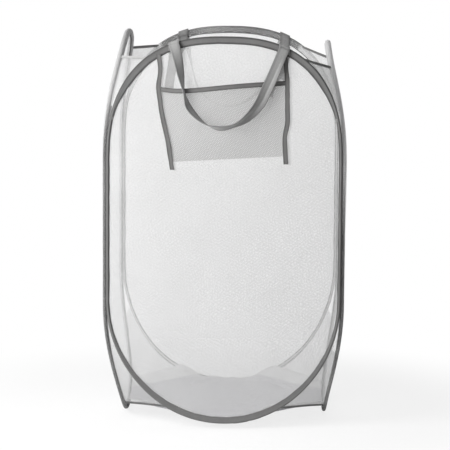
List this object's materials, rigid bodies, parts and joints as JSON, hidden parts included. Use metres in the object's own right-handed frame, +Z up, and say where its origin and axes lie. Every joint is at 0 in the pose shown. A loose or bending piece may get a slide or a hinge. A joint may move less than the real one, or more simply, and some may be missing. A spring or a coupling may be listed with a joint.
{
  "type": "pop up laundry hamper",
  "caption": "Square pop up laundry hamper of mesh panels on sprung wire loops in dark tape, with webbing handles and a small front pocket.",
  "frame": {"origin": "on the floor, under the middle of the hamper's body", "axes": "+Z up; the panel with the pocket faces -Y; +X is to the right as seen from that side"},
  "size_m": [0.3702, 0.4186, 0.6091],
  "materials": {
    "spring_wire": "bare drawn spring steel",
    "ferrule_steel": "crimped steel sleeve",
    "casing_tape": "dark grey woven polyester binding tape",
    "hem_tape": "narrow dark grey woven polyester binding",
    "mesh_fabric": "light grey open polyester mesh",
    "pocket_mesh": "denser light grey polyester mesh",
    "pocket_tape": "dark grey woven polyester tape",
    "floor_fabric": "light grey plain woven cloth",
    "handle_webbing": "mid grey flat polyester webbing"
  },
  "bodies": {
    "back": {"back_wire": "spring_wire", "back_wire_ferrule": "ferrule_steel", "back_casing": "casing_tape", "back_mesh_panel": "mesh_fabric", "back_right_upper_gusset": "mesh_fabric", "back_right_upper_hem": "hem_tape", "back_right_lower_gusset": "mesh_fabric", "back_right_lower_hem": "hem_tape", "rear_handle_left_tab": "handle_webbing", "rear_handle_right_tab": "handle_webbing"},
    "left": {"left_wire": "spring_wire", "left_wire_ferrule": "ferrule_steel", "left_casing": "casing_tape", "left_mesh_panel": "mesh_fabric", "back_left_upper_gusset": "mesh_fabric", "back_left_upper_hem": "hem_tape", "back_left_lower_gusset": "mesh_fabric", "back_left_lower_hem": "hem_tape"},
    "front": {"front_wire": "spring_wire", "front_wire_ferrule": "ferrule_steel", "front_casing": "casing_tape", "front_mesh_panel": "mesh_fabric", "front_left_upper_gusset": "mesh_fabric", "front_left_upper_hem": "hem_tape", "front_left_lower_gusset": "mesh_fabric", "front_left_lower_hem": "hem_tape", "front_pocket": "pocket_mesh", "pocket_top_binding": "pocket_tape", "pocket_left_tape": "pocket_tape", "pocket_right_tape": "pocket_tape", "front_handle_left_tab": "handle_webbing", "front_handle_right_tab": "handle_webbing"},
    "right": {"right_wire": "spring_wire", "right_wire_ferrule": "ferrule_steel", "right_casing": "casing_tape", "right_mesh_panel": "mesh_fabric", "front_right_upper_gusset": "mesh_fabric", "front_right_upper_hem": "hem_tape", "front_right_lower_gusset": "mesh_fabric", "front_right_lower_hem": "hem_tape"},
    "floor": {"floor_panel": "floor_fabric"},
    "front_handle": {"front_handle": "handle_webbing"},
    "rear_handle": {"rear_handle": "handle_webbing"}
  },
  "joints": [
    {"name": "left_fold", "type": "hinge", "parent": "back", "child": "left", "pos_m": [-0.182, 0.182, 0.3], "axis": [0, 0, -1], "range_deg": [0, 75], "stiffness_Nm_per_rad": 0.5, "deforming": ["back_left_upper_gusset", "back_left_upper_hem", "back_left_lower_gusset", "back_left_lower_hem", "back_right_upper_gusset", "back_right_upper_hem", "back_right_lower_gusset", "back_right_lower_hem"]},
    {"name": "front_fold", "type": "hinge", "parent": "left", "child": "front", "pos_m": [-0.158, -0.158, 0.3], "axis": [0, 0, 1], "range_deg": [0, 75], "deforming": ["front_left_upper_gusset", "front_left_upper_hem", "front_left_lower_gusset", "front_left_lower_hem"]},
    {"name": "right_fold", "type": "hinge", "parent": "front", "child": "right", "pos_m": [0.182, -0.182, 0.3], "axis": [0, 0, -1], "range_deg": [0, 75], "deforming": ["front_right_upper_gusset", "front_right_upper_hem", "front_right_lower_gusset", "front_right_lower_hem"]},
    {"name": "floor_shear", "type": "hinge", "parent": "back", "child": "floor", "pos_m": [-0.182, 0.182, 0.0175], "axis": [0, 0, -1], "range_deg": [0, 37.5], "deforming": ["floor_panel"]},
    {"name": "front_handle_swing", "type": "hinge", "parent": "front", "child": "front_handle", "pos_m": [0.006, -0.16619, 0.59401], "axis": [-0.9995, 0.0019, 0.0303], "range_deg": [0, 170]},
    {"name": "rear_handle_swing", "type": "hinge", "parent": "back", "child": "rear_handle", "pos_m": [0.006, 0.16619, 0.59401], "axis": [0.9995, 0.0019, -0.0303], "range_deg": [0, 170]}
  ],
  "couplings": [
    {"joint": "front_fold", "follows": "left_fold", "ratio": 1},
    {"joint": "right_fold", "follows": "left_fold", "ratio": 1},
    {"joint": "floor_shear", "follows": "left_fold", "ratio": 0.5}
  ]
}
